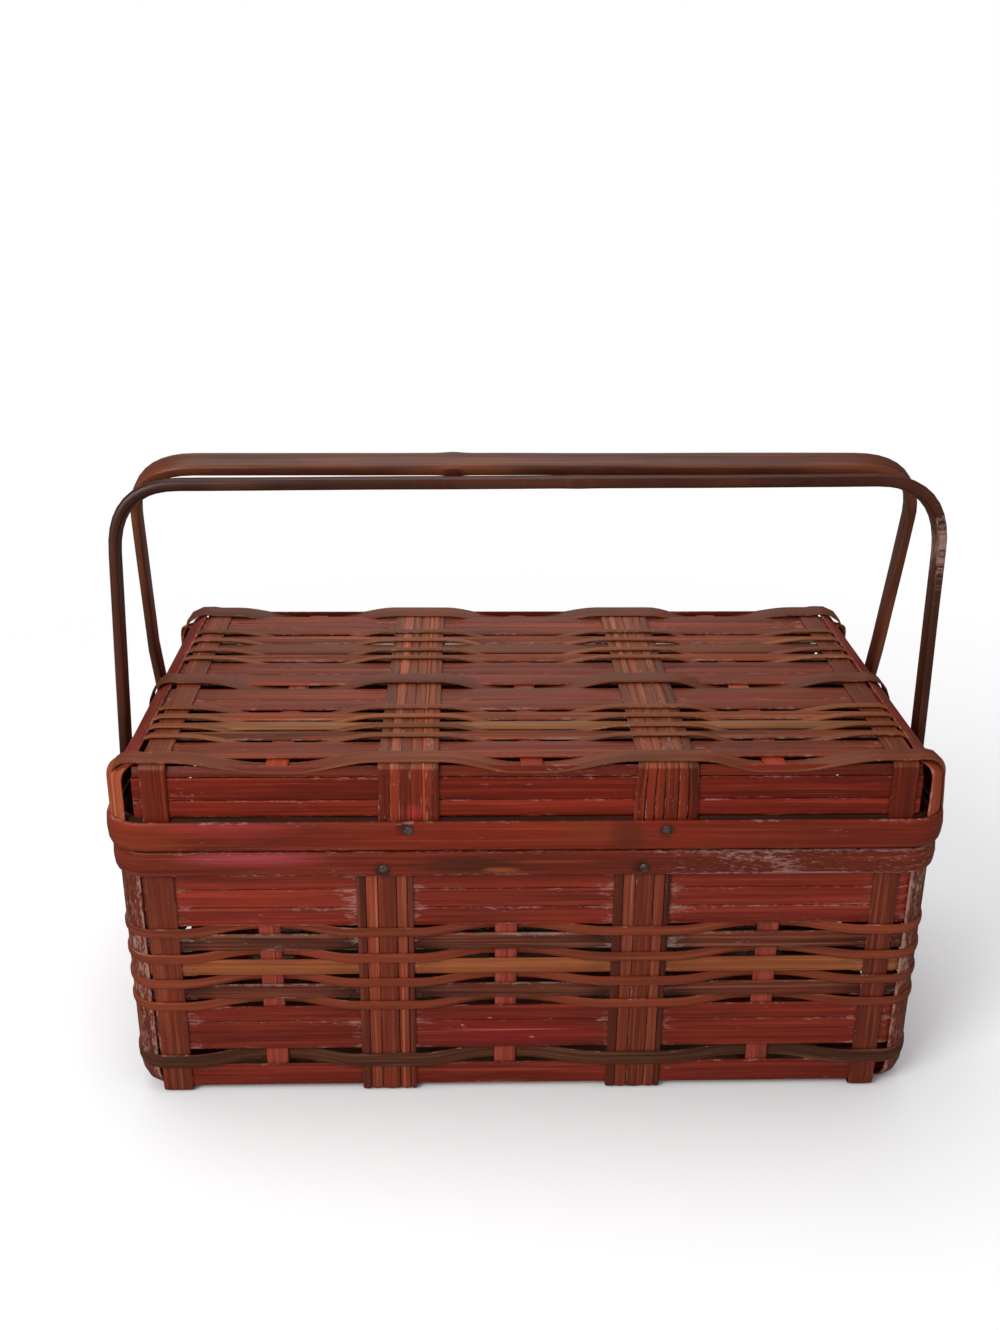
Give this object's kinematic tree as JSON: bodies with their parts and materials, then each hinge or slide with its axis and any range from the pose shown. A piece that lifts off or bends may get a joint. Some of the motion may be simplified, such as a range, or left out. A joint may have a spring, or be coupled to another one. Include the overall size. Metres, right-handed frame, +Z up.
{
  "type": "picnic basket",
  "caption": "Rectangular woven bamboo-splint picnic basket with a hinged lid and bent bamboo bail handles that fold down to front and back.",
  "frame": {"origin": "middle of the base, on the surface that the basket stands on", "axes": "+X to the right along the basket's length, +Y from the front to the lid's hinge at the back, +Z up"},
  "size_m": [0.3996, 0.2085, 0.2876],
  "materials": {
    "red_splints": "satin dye, worn at the edges",
    "grey_splints": "weathered grey-brown",
    "tan_splints": "weathered tan",
    "brown_stakes": "satin brown with orange fibres",
    "brown_weavers": "satin brown",
    "rim_bamboo": "glossy bamboo skin, stained",
    "handle_bamboo": "glossy bamboo skin, stained",
    "plain_bamboo": "plain bamboo",
    "iron_fittings": "dull, lightly rusted"
  },
  "bodies": {
    "basket": {"body_bundle_left": "brown_stakes", "body_bundle_right": "brown_stakes", "body_corner_stakes": "brown_stakes", "body_narrow_stakes": "red_splints", "side_bundle": "brown_stakes", "side_narrow_stakes": "red_splints", "corner_posts": "brown_stakes", "base_splints": "plain_bamboo", "side_bottom_splints": "red_splints", "bottom_splints": "red_splints", "lower_red_hoop": "red_splints", "lower_grey_hoop": "grey_splints", "tan_hoop": "tan_splints", "upper_grey_hoop": "grey_splints", "upper_red_hoop": "red_splints", "brown_weaver": "brown_weavers", "thin_weavers": "brown_weavers", "body_rim_core": "plain_bamboo", "body_inner_band": "plain_bamboo", "body_outer_band": "rim_bamboo", "body_nails": "iron_fittings", "hinge_rings": "iron_fittings", "pivot_pins": "iron_fittings", "spacer_washers": "iron_fittings", "cap_washers": "iron_fittings"},
    "lid": {"lid_bundle_left": "brown_stakes", "lid_bundle_right": "brown_stakes", "lid_corner_stakes": "brown_stakes", "lid_narrow_stakes": "red_splints", "lid_red_splints": "red_splints", "lid_grey_splints": "grey_splints", "lid_tan_splints": "tan_splints", "lid_thin_weavers": "brown_weavers", "lid_brown_weavers": "brown_weavers", "lid_front_edge_strip": "red_splints", "lid_back_edge_strip": "red_splints", "lid_side_edge_strips": "red_splints", "lid_corner_strips": "brown_stakes", "lid_skirt_hoop": "red_splints", "lid_rim_core": "plain_bamboo", "lid_inner_band": "plain_bamboo", "lid_outer_band": "rim_bamboo", "lid_nails": "iron_fittings"},
    "front_bail": {"front_handle": "handle_bamboo"},
    "back_bail": {"back_handle": "handle_bamboo"}
  },
  "joints": [
    {"name": "lid_hinge", "type": "hinge", "parent": "basket", "child": "lid", "pos_m": [0, 0.1013, 0.13315], "axis": [-1, 0, 0], "range_deg": [0, 105]},
    {"name": "front_handle_pivot", "type": "hinge", "parent": "basket", "child": "front_bail", "pos_m": [0, -0.03401, 0.1265], "axis": [1, 0, 0], "range_deg": [0, 120]},
    {"name": "back_handle_pivot", "type": "hinge", "parent": "basket", "child": "back_bail", "pos_m": [0, 0.06603, 0.1265], "axis": [-1, 0, 0], "range_deg": [0, 135]}
  ],
  "couplings": [
    {"joint": "front_handle_pivot", "follows": "lid_hinge", "ratio": 1.1428},
    {"joint": "back_handle_pivot", "follows": "lid_hinge", "ratio": 1.2857}
  ]
}
